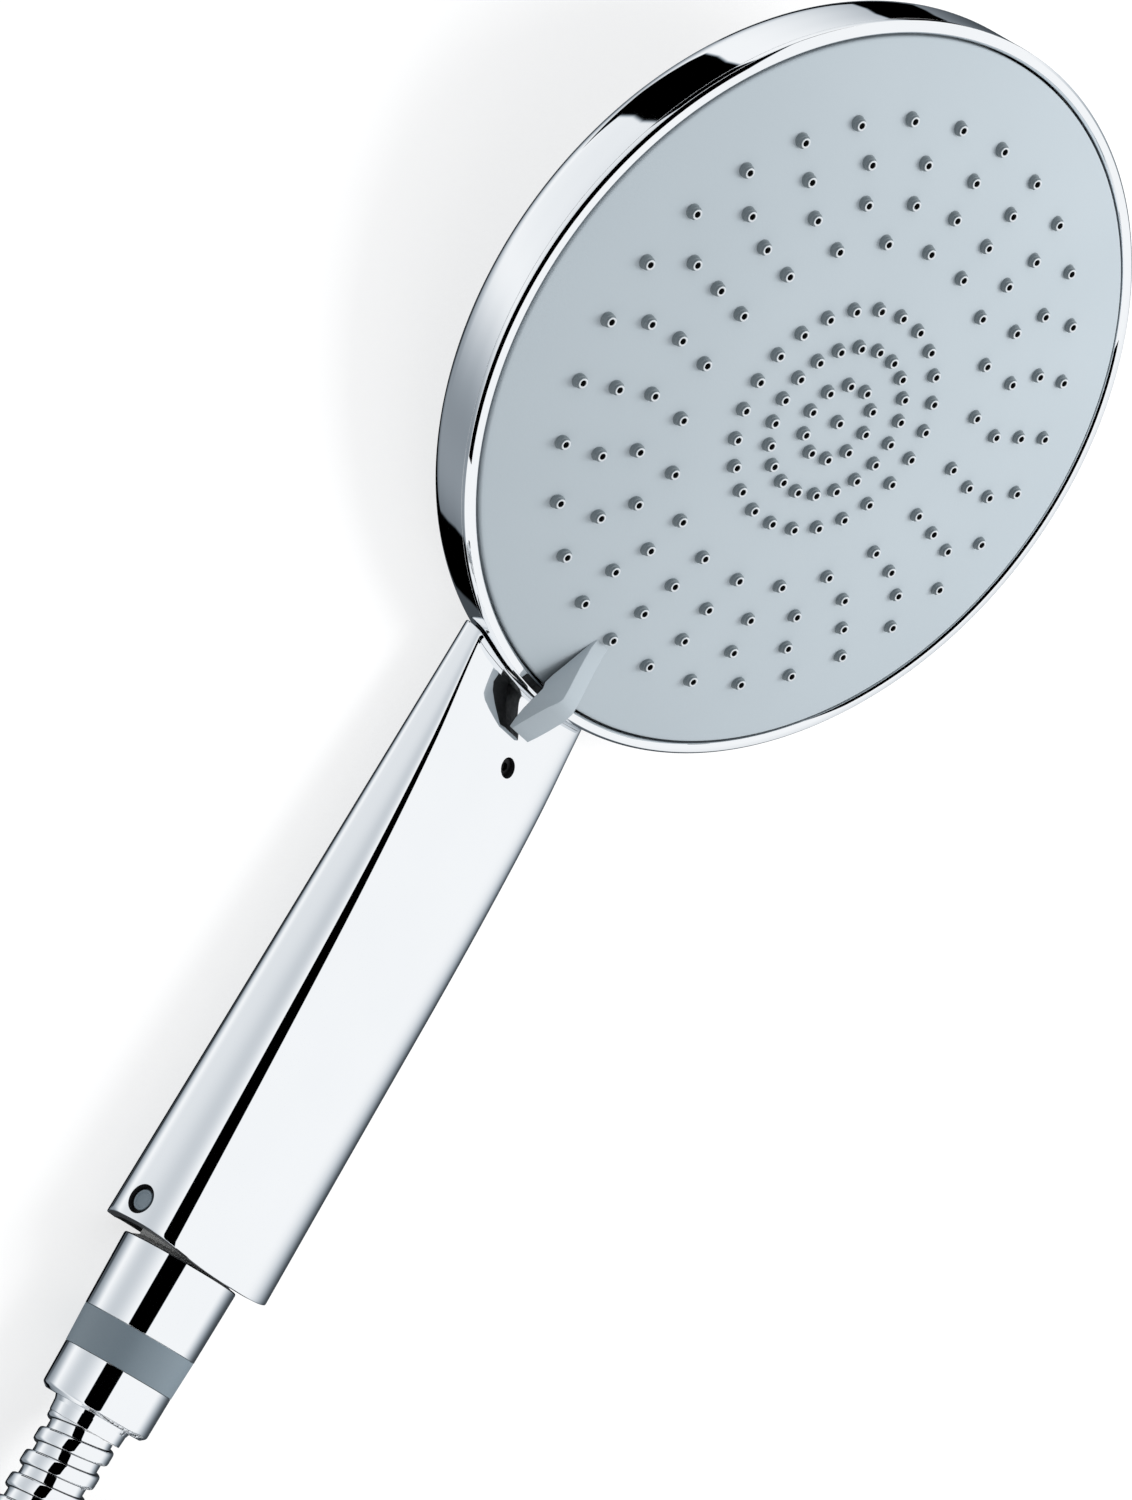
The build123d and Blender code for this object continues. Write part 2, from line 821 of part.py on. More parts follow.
# ---- the far end of the hose, lying on the coil -------------------------
end_turn = radians(180 + top_turn)
end_along = Vector(-sin(end_turn), cos(end_turn), 0)
end_out = Vector(cos(end_turn), sin(end_turn), 0)
end_level = floor_gap + 2 * hose_diameter + end_nut_flat / cos(pi / 6) + 0.35
end_place = coil_center + end_out * coil_radius + Vector(0, 0, end_level)
end_axis = Axis(end_place, end_along)
end_section = Plane(origin=end_place, x_dir=(0, 0, 1), z_dir=Vector(0, 0, 1).cross(end_along))


def end_turned(profile):
    return turned(end_section, end_axis, profile)


def end_plane(s):
    """Plane across the far end of the hose, s beyond the coil."""
    return Plane(origin=end_place + end_along * s, x_dir=(0, 0, 1), z_dir=end_along)


end_insert = end_turned([
    (3.8, 0.05),
    (7.1, 0.05),
    (7.1, 4.0),
    (7.9, 5.5),
    (7.9, 10.5),
    (6.6, 10.5),
    (6.6, 15.0),
    (8.8, 15.0),
    (8.8, 17.5),
    (3.8, 17.5),
])
save(end_insert, "end_insert")

with BuildPart() as end_nut:
    with BuildSketch(end_plane(11.5)):
        RegularPolygon(end_nut_flat, 6, major_radius=False, rotation=30)
    extrude(amount=14)
    with BuildSketch(end_plane(11)):
        Circle(6.8)
    extrude(amount=10, mode=Mode.SUBTRACT)
    with BuildSketch(end_plane(14.9)):
        Circle(8.95)
    extrude(amount=12, mode=Mode.SUBTRACT)
    with BuildSketch(end_plane(19.5)):
        Circle(thread_radius + 0.1)
    extrude(amount=8, mode=Mode.SUBTRACT)
save(end_nut, "end_nut")

with BuildPart() as end_washer:
    with BuildSketch(end_plane(17.55)):
        Circle(8.8)
        Circle(4.8, mode=Mode.SUBTRACT)
    extrude(amount=1.9)
save(end_washer, "end_washer")
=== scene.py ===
import json
from math import cos, pi, radians, sin, sqrt, tan
import bmesh
import bpy
from mathutils import Matrix, Vector


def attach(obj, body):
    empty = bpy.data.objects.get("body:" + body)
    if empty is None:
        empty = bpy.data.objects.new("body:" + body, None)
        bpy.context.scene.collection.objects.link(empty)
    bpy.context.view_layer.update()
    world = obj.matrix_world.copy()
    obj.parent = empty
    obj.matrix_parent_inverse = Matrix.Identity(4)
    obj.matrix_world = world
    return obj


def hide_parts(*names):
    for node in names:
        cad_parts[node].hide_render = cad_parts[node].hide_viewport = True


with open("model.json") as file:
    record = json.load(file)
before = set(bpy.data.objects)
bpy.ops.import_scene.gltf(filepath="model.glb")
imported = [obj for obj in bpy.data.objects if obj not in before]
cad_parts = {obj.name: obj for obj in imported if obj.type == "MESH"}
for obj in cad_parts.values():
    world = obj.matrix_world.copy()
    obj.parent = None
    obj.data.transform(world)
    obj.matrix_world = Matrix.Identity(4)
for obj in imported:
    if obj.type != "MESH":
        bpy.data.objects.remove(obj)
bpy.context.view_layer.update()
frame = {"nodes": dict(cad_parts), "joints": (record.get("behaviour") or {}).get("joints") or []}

# Handheld shower head on its back, spray face up. Settings are in mm unless
# a comment says otherwise. Blender works in metres, so lengths are multiplied by mm.

mm = 0.001
fixedBody = "shower_head"
faceBody = "spray_face"
nutBody = "union_nut"
buttonBody = "button"


def jointNamed(name):
    return next(j for j in frame["joints"] if j["name"] == name)


# the three axes everything is built on, read from the joints
faceTurn = jointNamed("selector_turn")
nutTurn = jointNamed("nut_spin")
crown = Vector(faceTurn["pos_m"])
outward = Vector(faceTurn["axis"]).normalized()
along = Vector(nutTurn["axis"]).normalized()
sideways = Vector((1, 0, 0))
forward = sideways.cross(along) * -1
nutPlace = 210 * mm                       # how far down the handle that joint sits
crossing = Vector(nutTurn["pos_m"]) - along * nutPlace
awayFromHandle = outward.cross(sideways)


# camera, in mm and degrees
cameraSettings = {
    "place": (-532.0, -132.7, 517.8),
    "lookAt": (-0.4, -2.3, 27.3),
    "roll": 112.4,
    "lens": 96.1,
}


def addCamera():
    data = bpy.data.cameras.new("camera")
    camera = bpy.data.objects.new("camera", data)
    bpy.context.scene.collection.objects.link(camera)
    place = Vector(cameraSettings["place"]) * mm
    toward = Vector(cameraSettings["lookAt"]) * mm - place
    turn = toward.to_track_quat("-Z", "Y").to_matrix().to_4x4()
    roll = Matrix.Rotation(radians(cameraSettings["roll"]), 4, "Z")
    camera.matrix_world = Matrix.Translation(place) @ turn @ roll
    data.lens = cameraSettings["lens"]
    data.clip_start = 0.01
    bpy.context.scene.camera = camera


addCamera()
print("camera set")


# white studio with dark cards that only the chrome sees
studioSettings = {
    "white": 1.0,
    "plainLight": 0.86,
    # the chrome sees the far low side dark, and the plastics get less light from the left
    "darkSide": {"toward": (0.75, 0.0, -0.66), "from": 0.18, "to": 0.93, "value": 0.08},
    "leftShade": {"from": -0.2, "to": 0.9, "value": 0.3},
    "tint": (0.72, 0.86, 1.0, 1),         # of the studio's dark parts
    "clear": (0.985, 0.992, 1.0, 1),
    "seenExtra": 0.9,                     # added where the camera looks straight at the studio
    # each card: its direction, the direction of its width, half width and half length
    "cards": [
        # soft greys low on the left and under the handle
        {"center": (-0.9, 0.0, -0.35), "across": (0.35, 0, -0.9),
         "size": (0.42, 3.0), "value": 0.7, "soft": 0.4},
        {"center": (-0.1, -0.5, -0.86), "across": (1, 0, 0),
         "size": (0.3, 0.5), "value": 0.33, "soft": 0.3},
        {"center": (0.15, 0.2, -0.97), "across": (0.97, 0, 0.15),
         "size": (0.1, 0.25), "value": 0.04, "soft": 0.08},
        # the long stripe down the handle, the nut and the hose
        {"center": (-0.81, 0.0, 0.588), "across": (0.588, 0, 0.81),
         "size": (0.33, 3.0), "value": 0.0, "soft": 0.012},
        # three patches on the head's rim
        {"center": (0.42, -0.08, -0.90), "across": (0.9, 0, 0.42),
         "size": (0.14, 0.45), "value": 0.0, "soft": 0.01},
        {"center": (-0.47, 0.64, -0.61), "across": (0.8, 0.6, 0.0),
         "size": (0.17, 0.35), "value": 0.0, "soft": 0.01},
        {"center": (0.36, 0.76, -0.54), "across": (0.9, -0.43, 0.0),
         "size": (0.13, 0.35), "value": 0.0, "soft": 0.01},
    ],
}


# adds shader nodes and joins them up
class NodeBoard:

    def __init__(self, tree):
        self.tree = tree
        tree.nodes.clear()

    def add(self, kind, inputs=None, **options):
        node = self.tree.nodes.new(kind)
        for name, value in options.items():
            setattr(node, name, value)
        for name, value in (inputs or {}).items():
            self.give(node.inputs[name], value)
        return node

    def give(self, socket, value):
        if isinstance(value, bpy.types.NodeSocket):
            self.tree.links.new(value, socket)
        else:
            socket.default_value = value

    def math(self, operation, first, second=0.0, clamp=False):
        node = self.add("ShaderNodeMath", {0: first, 1: second}, operation=operation, use_clamp=clamp)
        return node.outputs[0]

    def dot(self, vector, direction):
        node = self.add("ShaderNodeVectorMath", {0: vector, 1: tuple(direction)}, operation="DOT_PRODUCT")
        return node.outputs["Value"]

    def smooth(self, value, low, high, toLow=0.0, toHigh=1.0):
        node = self.add(
            "ShaderNodeMapRange",
            {"Value": value, "From Min": low, "From Max": high, "To Min": toLow, "To Max": toHigh},
            interpolation_type="SMOOTHSTEP",
        )
        return node.outputs["Result"]

    def mix(self, factor, first, second):
        node = self.add("ShaderNodeMix", {0: factor}, data_type="RGBA")
        self.give(node.inputs[6], first)
        self.give(node.inputs[7], second)
        return node.outputs[2]


def addStudio():
    world = bpy.data.worlds.new("studio")
    bpy.context.scene.world = world
    world.use_nodes = True
    board = NodeBoard(world.node_tree)
    direction = board.add("ShaderNodeTexCoord").outputs["Generated"]
    dark = studioSettings["darkSide"]
    side = board.dot(direction, Vector(dark["toward"]).normalized())
    level = board.smooth(side, dark["from"], dark["to"], studioSettings["white"], dark["value"])
    for card in studioSettings["cards"]:
        center = Vector(card["center"]).normalized()
        soft = card["soft"]
        across = Vector(card["across"])
        across = (across - center * across.dot(center)).normalized()
        upward = center.cross(across)
        ahead = board.dot(direction, center)
        depth = board.math("MAXIMUM", ahead, 0.001)
        mask = board.smooth(ahead, 0.05, 0.1)
        for axis, half in zip((across, upward), card["size"]):
            offset = board.math("DIVIDE", board.dot(direction, axis), depth)
            offset = board.math("ABSOLUTE", offset)
            mask = board.math("MULTIPLY", mask, board.smooth(offset, half - soft, half + soft, 1.0, 0.0))
        change = board.math("MULTIPLY", mask, board.math("SUBTRACT", card["value"], level))
        level = board.math("ADD", level, change)
    ray = board.add("ShaderNodeLightPath").outputs
    shade = studioSettings["leftShade"]
    toLeft = board.dot(direction, (-1, 0, 0))
    plain = board.smooth(toLeft, shade["from"], shade["to"], studioSettings["plainLight"], shade["value"])
    extra = board.math("MULTIPLY", ray["Is Camera Ray"], studioSettings["seenExtra"])
    plain = board.math("ADD", plain, extra)
    reflected = board.math("MULTIPLY", level, ray["Is Glossy Ray"])
    other = board.math("SUBTRACT", 1.0, ray["Is Glossy Ray"])
    strength = board.math("ADD", reflected, board.math("MULTIPLY", plain, other))
    color = board.mix(level, studioSettings["tint"], studioSettings["clear"])
    background = board.add("ShaderNodeBackground", {"Color": color, "Strength": strength})
    board.add("ShaderNodeOutputWorld", {"Surface": background.outputs[0]})


# a large key light over the far right of the head, and a weak fill on the left
lightSettings = {
    "key": {"place": (500, 450, 900), "size": 500, "power": 8.0, "color": (1.0, 1.0, 1.0)},
    "fill": {"place": (-700, 500, 500), "size": 700, "power": 1.2, "color": (0.95, 0.98, 1.0)},
}


def addLight(name, place, size, power, color):
    data = bpy.data.lights.new(name, "AREA")
    data.size = size * mm
    data.energy = power
    data.color = color
    light = bpy.data.objects.new(name, data)
    bpy.context.scene.collection.objects.link(light)
    light.location = Vector(place) * mm
    light.rotation_euler = (crown - light.location).to_track_quat("-Z", "Y").to_euler()
    light.visible_glossy = False


addStudio()
for name, light in lightSettings.items():
    addLight(name, **light)
print("studio lit")


# finishes: two tints that a slow noise mixes, and the span of the gloss
noiseSettings = {
    "cloudScale": 22.0,
    "lineScale": 300.0,
    "lineStretch": (1, 0.08, 1),
    "filmSpan": (0.35, 0.75),             # of the noise, over which the gloss changes
    "grainSpan": (0.3, 0.7),
    "grainDepth": 0.0002,                 # in metres
    "lineDepth": 0.0001,                  # in metres
    "lineBump": 0.08,
}
chromeFinish = {
    "light": (0.93, 0.945, 0.96, 1),
    "shade": (0.88, 0.90, 0.92, 1),
    "roughness": (0.015, 0.04),
    "filmScale": 35.0,
}
plasticFinishes = {
    "faceGrey": {"light": (0.47, 0.525, 0.56, 1), "shade": (0.42, 0.475, 0.51, 1),
                 "roughness": (0.32, 0.42), "grain": 1800.0, "bump": 0.05},
    "trimGrey": {"light": (0.20, 0.25, 0.285, 1), "shade": (0.17, 0.215, 0.25, 1),
                 "roughness": (0.38, 0.5), "grain": 2500.0, "bump": 0.08},
    "leverGrey": {"light": (0.43, 0.485, 0.52, 1), "shade": (0.39, 0.44, 0.475, 1),
                  "roughness": (0.32, 0.42), "grain": 1800.0, "bump": 0.05},
    # the inside's black plastic, also used as painted shade on the lever's underside
    "innerBlackAndPaintedShade": {"light": (0.016, 0.017, 0.018, 1), "shade": (0.01, 0.01, 0.011, 1),
                   "roughness": (0.5, 0.65), "grain": 1500.0, "bump": 0.05},
    "nozzleGrey": {"light": (0.20, 0.235, 0.255, 1), "shade": (0.16, 0.19, 0.205, 1),
                   "roughness": (0.4, 0.5), "grain": 2600.0, "bump": 0.05},
    # painted highlight: a pale copy of the nozzle grey on the rounded top of each tip
    "nozzleRimPaintedHighlight": {"light": (0.66, 0.69, 0.71, 1), "shade": (0.58, 0.61, 0.63, 1),
                  "roughness": (0.35, 0.45), "grain": 2600.0, "bump": 0.03},
    # painted shade: near-black inside each nozzle's hole
    "nozzleHolePaintedShade": {"light": (0.006, 0.006, 0.007, 1), "shade": (0.003, 0.003, 0.003, 1),
                   "roughness": (0.6, 0.7), "grain": 900.0, "bump": 0.02},
    "whiteNylon": {"light": (0.80, 0.80, 0.78, 1), "shade": (0.72, 0.72, 0.70, 1),
                   "roughness": (0.4, 0.55), "grain": 900.0, "bump": 0.08},
    "blackRubber": {"light": (0.022, 0.022, 0.023, 1), "shade": (0.012, 0.012, 0.012, 1),
                    "roughness": (0.5, 0.7), "grain": 1500.0, "bump": 0.1},
}
metalFinishes = {
    "brushedSteel": {"light": (0.62, 0.63, 0.64, 1), "shade": (0.50, 0.51, 0.52, 1),
                     "roughness": (0.2, 0.34)},
    "blackSteel": {"light": (0.03, 0.03, 0.032, 1), "shade": (0.02, 0.02, 0.021, 1),
                   "roughness": (0.35, 0.5)},
    # painted shade: near-black chrome on the hose's groove sides, for the dark lines between the ribs
    "grooveSidePaintedShade": {"light": (0.05, 0.052, 0.056, 1), "shade": (0.03, 0.032, 0.035, 1),
                   "roughness": (0.2, 0.3)},
    "machinedBrass": {"light": (0.80, 0.62, 0.32, 1), "shade": (0.66, 0.50, 0.24, 1),
                      "roughness": (0.18, 0.3)},
}


def newMaterial(name):
    material = bpy.data.materials.new(name)
    material.use_nodes = True
    return material, NodeBoard(material.node_tree)


def finishSurface(board, color, roughness, metallic, normal=None):
    inputs = {"Base Color": color, "Roughness": roughness, "Metallic": metallic}
    if normal is not None:
        inputs["Normal"] = normal
    shader = board.add("ShaderNodeBsdfPrincipled", inputs)
    board.add("ShaderNodeOutputMaterial", {"Surface": shader.outputs[0]})
    return shader


def objectNoise(board, scale, detail=2.0, stretch=(1, 1, 1)):
    place = board.add("ShaderNodeTexCoord").outputs["Object"]
    mapped = board.add("ShaderNodeMapping", {"Vector": place, "Scale": stretch}).outputs[0]
    noise = board.add("ShaderNodeTexNoise", {"Vector": mapped, "Scale": scale, "Detail": detail})
    return noise.outputs["Fac"]


def bumpNormal(board, height, strength, distance):
    bump = board.add("ShaderNodeBump", {"Height": height, "Strength": strength, "Distance": distance})
    return bump.outputs[0]


def chromeMaterial(name):
    # a faint film of handling varies the tint and the gloss
    material, board = newMaterial(name)
    film = objectNoise(board, chromeFinish["filmScale"], 3.0)
    color = board.mix(film, chromeFinish["shade"], chromeFinish["light"])
    roughness = board.smooth(film, *noiseSettings["filmSpan"], *chromeFinish["roughness"])
    finishSurface(board, color, roughness, 1.0)
    return material


def plasticMaterial(name):
    finish = plasticFinishes[name]
    material, board = newMaterial(name)
    cloud = objectNoise(board, noiseSettings["cloudScale"])
    grain = objectNoise(board, finish["grain"])
    color = board.mix(cloud, finish["shade"], finish["light"])
    roughness = board.smooth(grain, *noiseSettings["grainSpan"], *finish["roughness"])
    bump = bumpNormal(board, grain, finish["bump"], noiseSettings["grainDepth"])
    finishSurface(board, color, roughness, 0.0, bump)
    return material


def metalMaterial(name):
    finish = metalFinishes[name]
    material, board = newMaterial(name)
    lines = objectNoise(board, noiseSettings["lineScale"], 3.0, noiseSettings["lineStretch"])
    color = board.mix(lines, finish["shade"], finish["light"])
    roughness = board.smooth(lines, *noiseSettings["grainSpan"], *finish["roughness"])
    bump = bumpNormal(board, lines, noiseSettings["lineBump"], noiseSettings["lineDepth"])
    finishSurface(board, color, roughness, 1.0, bump)
    return material


chrome = chromeMaterial("chrome")
plastics = {name: plasticMaterial(name) for name in plasticFinishes}
metals = {name: metalMaterial(name) for name in metalFinishes}
print("finishes made")


def newPiece(name, verts, faces, materials, body, nodes, faceMaterials=None, sharpAngle=None):
    mesh = bpy.data.meshes.new(name)
    mesh.from_pydata([tuple(v) for v in verts], [], faces)
    mesh.update()
    piece = bpy.data.objects.new(name, mesh)
    bpy.context.scene.collection.objects.link(piece)
    for material in materials:
        mesh.materials.append(material)
    if faceMaterials:
        mesh.polygons.foreach_set("material_index", faceMaterials)
    work = bmesh.new()
    work.from_mesh(mesh)
    bmesh.ops.remove_doubles(work, verts=work.verts, dist=1e-7)
    bmesh.ops.recalc_face_normals(work, faces=work.faces)
    work.to_mesh(mesh)
    work.free()
    mesh.shade_smooth()
    if sharpAngle:
        mesh.set_sharp_from_angle(angle=radians(sharpAngle))
    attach(piece, body)
    if nodes:
        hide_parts(*nodes)
    return piece


# rounds a closed profile of (radius, place, corner radius) and returns its points
def roundedProfile(corners, steps=6):
    points = []
    for i, (x, y, rounding) in enumerate(corners):
        here = Vector((x, y))
        before = Vector(corners[i - 1][:2]) - here
        after = Vector(corners[(i + 1) % len(corners)][:2]) - here
        if rounding <= 0 or before.length < 1e-9 or after.length < 1e-9:
            points.append(here)
            continue
        bend = before.angle(after)
        reach = min(rounding / tan(bend / 2), 0.48 * before.length, 0.48 * after.length)
        start = here + before.normalized() * reach
        end = here + after.normalized() * reach
        for k in range(steps + 1):
            t = k / steps
            points.append(start * (1 - t) ** 2 + here * 2 * t * (1 - t) + end * t ** 2)
    return points


# adds points on a closed profile's long sides
def splitLong(points, longest):
    dense = []
    for a, b in zip(points, points[1:] + points[:1]):
        parts = max(1, int((b - a).length / longest))
        dense += [a + (b - a) * k / parts for k in range(parts)]
    return dense


# a turned piece from a closed profile, smooth all round
def turnedPiece(name, corners, origin, axis, body, nodes, material,
                segments=192, steps=6, longest=4.0):
    points = splitLong(roundedProfile(corners, steps), longest)
    across = sideways if abs(axis.dot(sideways)) < 0.5 else along
    third = axis.cross(across)
    count = len(points)
    verts = []
    for k in range(segments):
        turn = 2 * pi * k / segments
        radial = across * cos(turn) + third * sin(turn)
        verts += [origin + radial * (p.x * mm) + axis * (p.y * mm) for p in points]
    faces = []
    for k in range(segments):
        for i in range(count):
            a = k * count
            b = ((k + 1) % segments) * count
            j = (i + 1) % count
            faces.append((a + i, a + j, b + j, b + i))
    newPiece(name, verts, faces, [material], body, nodes, sharpAngle=38)


# hose: one smooth line from the nut to the far end, then a ribbed strip wound on it
hoseSettings = {
    "length": 1500,
    "diameter": 14,
    "start": 237.4,                       # down the handle axis
    "leave": 33.3,                        # straight out of the nut
    "bend": (-9.5, -218, 8.0),            # a point of the turn into the coil
    "coilCenter": (63, -250),
    "coilRadius": 77,
    "level": 7.05,                        # of the lowest turn's middle
    "turns": 3,
    "turnPoints": 24,
    "ramp": 40,                           # degrees of each turn that climb to the next
    "lastAngle": 321.69,                   # of the third turn
    "lift": 30,                           # degrees at the end that rise to the nut
    "liftRate": 1.3,                      # above 1, the rise ends early
    "finePoints": 12,                     # of the smooth line, for each point given
    "endLevel": 42.26,
}
ribSettings = {
    "pitch": 4.75,
    "outer": 7.05,
    "inner": 6.0,
    "around": 36,
    # place in the pitch and share of the height, from one groove to the next
    "profile": [(0.0, 0.0), (0.06, 0.05), (0.09, 0.7), (0.13, 0.92), (0.2, 1.0), (0.34, 1.0),
                (0.52, 1.0), (0.61, 0.92), (0.65, 0.7), (0.68, 0.05), (0.74, 0.0)],
    "paintedShadeStretches": (1, 8),                # which stretches of that profile are dark, painted shade on the groove sides
}


def hosePoints():
    s = hoseSettings
    start = crossing + along * (s["start"] * mm)
    points = [start, start + along * (s["leave"] * mm), Vector(s["bend"]) * mm]
    cx, cy = s["coilCenter"]
    step = 360 / s["turnPoints"]
    # a smooth line cuts inside its points, so they stand a little further out
    radius = s["coilRadius"] / cos(radians(step / 2))
    total = 360 * (s["turns"] - 1) + s["lastAngle"]
    count = int(total / step)
    for k in range(count + 1):
        angle = total * k / count
        turn, part = divmod(angle, 360)
        climb = max(0.0, part - (360 - s["ramp"])) / s["ramp"] if turn < s["turns"] - 1 else 0.0
        z = s["level"] + s["diameter"] * (turn + climb * climb * (3 - 2 * climb))
        rise = max(0.0, angle - (total - s["lift"])) / s["lift"]
        z += (s["endLevel"] - s["level"] - 2 * s["diameter"]) * min(1.0, rise * s["liftRate"])
        where = radians(180 + angle)
        points.append(Vector((cx + radius * cos(where), cy + radius * sin(where), z)) * mm)
    last = radians(180 + total)
    endPlace = (cx + s["coilRadius"] * cos(last), cy + s["coilRadius"] * sin(last), s["endLevel"])
    points[-1] = Vector(endPlace) * mm
    return points


# points along a smooth spline that has these control points
def smoothLine(points):
    curve = bpy.data.curves.new("hoseLine", "CURVE")
    curve.dimensions = "3D"
    curve.resolution_u = hoseSettings["finePoints"]
    spline = curve.splines.new("NURBS")
    spline.points.add(len(points) - 1)
    for point, place in zip(spline.points, points):
        point.co = (*place, 1)
    spline.order_u = 3
    spline.use_endpoint_u = True
    holder = bpy.data.objects.new("hoseLine", curve)
    bpy.context.scene.collection.objects.link(holder)
    bpy.context.view_layer.update()
    mesh = bpy.data.meshes.new_from_object(holder)
    line = [v.co.copy() for v in mesh.vertices]
    bpy.data.objects.remove(holder)
    bpy.data.meshes.remove(mesh)
    return line


# distance, place and two cross directions at each point of a line, without twist
def framesAlong(line):
    frames = []
    distance = 0.0
    side = sideways.copy()
    for i, place in enumerate(line):
        ahead = (line[min(i + 1, len(line) - 1)] - line[max(i - 1, 0)]).normalized()
        side = (side - ahead * side.dot(ahead)).normalized()
        frames.append((distance, place, side, ahead.cross(side)))
        if i + 1 < len(line):
            distance += (line[i + 1] - place).length
    return frames


def makeHose():
    s = ribSettings
    line = smoothLine(hosePoints())
    frames = framesAlong(line)
    whole = frames[-1][0]
    pitch = s["pitch"] * mm
    around = s["around"]
    turns = int(whole / pitch) + 2
    profile = s["profile"]
    wide = len(profile)
    depth = s["outer"] - s["inner"]
    at = 0
    verts = []
    places = {}

    def frameAt(u, near):
        while near + 2 < len(frames) and frames[near + 1][0] < u:
            near += 1
        while near > 0 and frames[near][0] > u:
            near -= 1
        a, b = frames[near], frames[near + 1]
        t = (u - a[0]) / max(b[0] - a[0], 1e-9)
        return near, a[1].lerp(b[1], t), a[2].lerp(b[2], t), a[3].lerp(b[3], t)

    steps = turns * around
    for i in range(steps + around + 1):
        turn = 2 * pi * i / around
        for p, (share, height) in enumerate(profile):
            u = (i / around - 1 + share) * pitch
            inside = min(max(u, 0.0), whole)
            at, center, side, upward = frameAt(inside, at)
            radius = (s["inner"] + depth * height) * mm
            places[i, p] = len(verts)
            verts.append(center + (side * cos(turn) + upward * sin(turn)) * radius)
    faces = []
    kinds = []
    for i in range(steps):
        for p in range(wide):
            a, b = places[i, p], places[i + 1, p]
            if p + 1 < wide:
                c, d = places[i + 1, p + 1], places[i, p + 1]
            else:
                c, d = places[i + 1 + around, 0], places[i + around, 0]
            faces.append((a, b, c, d))
            kinds.append(1 if p in s["paintedShadeStretches"] else 0)
    # the groove sides get the near-black finish, painted shade between the ribs
    hose = newPiece("hoseStrip", verts, faces, [chrome, metals["grooveSidePaintedShade"]], fixedBody,
                    ["hose", "hose_coil"], faceMaterials=kinds, sharpAngle=50)
    print("hose", len(verts), "points", round(whole, 4), "m")


makeHose()


# head: shell, bezel, face
domeRadius = 352.0                        # the face bulges as part of a sphere


def domeDepth(r):
    return domeRadius - sqrt(domeRadius ** 2 - r ** 2)


# turned profiles: radius, height above the crown of the face, rounding
headSettings = {
    "profile": [
        (75.12, -8.98, 0.04), (74.9, -20.6, 5.0), (62.0, -24.4, 30), (38.5, -29.75, 60),
        (14.0, -32.6, 60), (0.01, -33.0, 0), (0.01, -30.6, 0), (14.0, -30.2, 30),
        (37.5, -27.45, 30), (72.6, -18.7, 2), (72.75, -9.0, 0.2),
    ],
}
bezelSettings = {
    "profile": [
        (72.75, -7.8, 0.3), (73.2, -7.2, 0.3), (74.55, -7.35, 0.25), (75.12, -7.95, 0.2),
        (75.15, -8.9, 0.03), (74.3, -8.95, 0), (74.3, -11.0, 0), (73.5, -11.0, 0),
        (73.5, -8.95, 0), (72.75, -8.95, 0),
    ],
}
turnedPiece("headCover", headSettings["profile"], crown, outward, fixedBody, ["head_shell"], chrome,
            segments=320, steps=14, longest=2.5)
turnedPiece("bezelTrim", bezelSettings["profile"], crown, outward, fixedBody, ["bezel_ring"], chrome,
            segments=320, steps=5)

faceSettings = {
    "radius": 72.3,
    "edgeRounding": 1.6,
    "skirt": 10.3,
    "skirtInner": 70.3,
    "thickness": 2.5,
    "domeSteps": 60,
}


def makeFace():
    s = faceSettings
    top = [s["radius"] * k / s["domeSteps"] for k in range(s["domeSteps"])]
    corners = [(max(r, 0.01), -domeDepth(r), 0) for r in top]
    corners += [
        (s["radius"], -domeDepth(s["radius"]), s["edgeRounding"]),
        (s["radius"], -s["skirt"], 0),
        (s["skirtInner"], -s["skirt"], 0),
        (s["skirtInner"], -domeDepth(s["skirtInner"]) - s["thickness"], 0),
        (0.01, -s["thickness"], 0),
    ]
    turnedPiece("sprayFace", corners, crown, outward, faceBody, ["face_plate"], plastics["faceGrey"],
                segments=320, longest=3.0)


makeFace()
print("head made")


# lever: a ramp that rises out of the face, and a blunt end that reaches over the bezel
leverSettings = {
    # distance from the middle, level of the top, half widths of the top and the foot, level of the foot
    "stations": [
        (59.5, -5.0, 1.8, 2.0, -5.3), (61.4, -4.6, 2.0, 2.3, -5.8), (64.0, -3.75, 2.05, 2.8, -6.2),
        (67.0, -2.6, 2.1, 3.4, -6.7), (70.0, -1.4, 2.1, 4.0, -7.4), (71.9, -0.75, 2.15, 4.3, -7.5),
        (73.0, -0.75, 2.4, 4.4, -6.3), (75.0, -1.5, 2.9, 4.5, -5.9), (78.0, -2.8, 3.0, 4.25, -5.8),
        (80.5, -3.9, 2.95, 3.75, -5.7), (82.3, -4.7, 2.75, 3.2, -5.5),
    ],
    "undercut": 0.35,                     # share of the height where the sides turn in
    "underWidth": 0.5,                    # width of the underside, of the foot's
    "softEdge": 0.6,
}


def leverSection(top, flat, half, low):
    middle = low + (top - low) * leverSettings["undercut"]
    under = half * leverSettings["underWidth"]
    return [(-under, low), (-half, middle), (-flat, top), (flat, top), (half, middle), (under, low)]


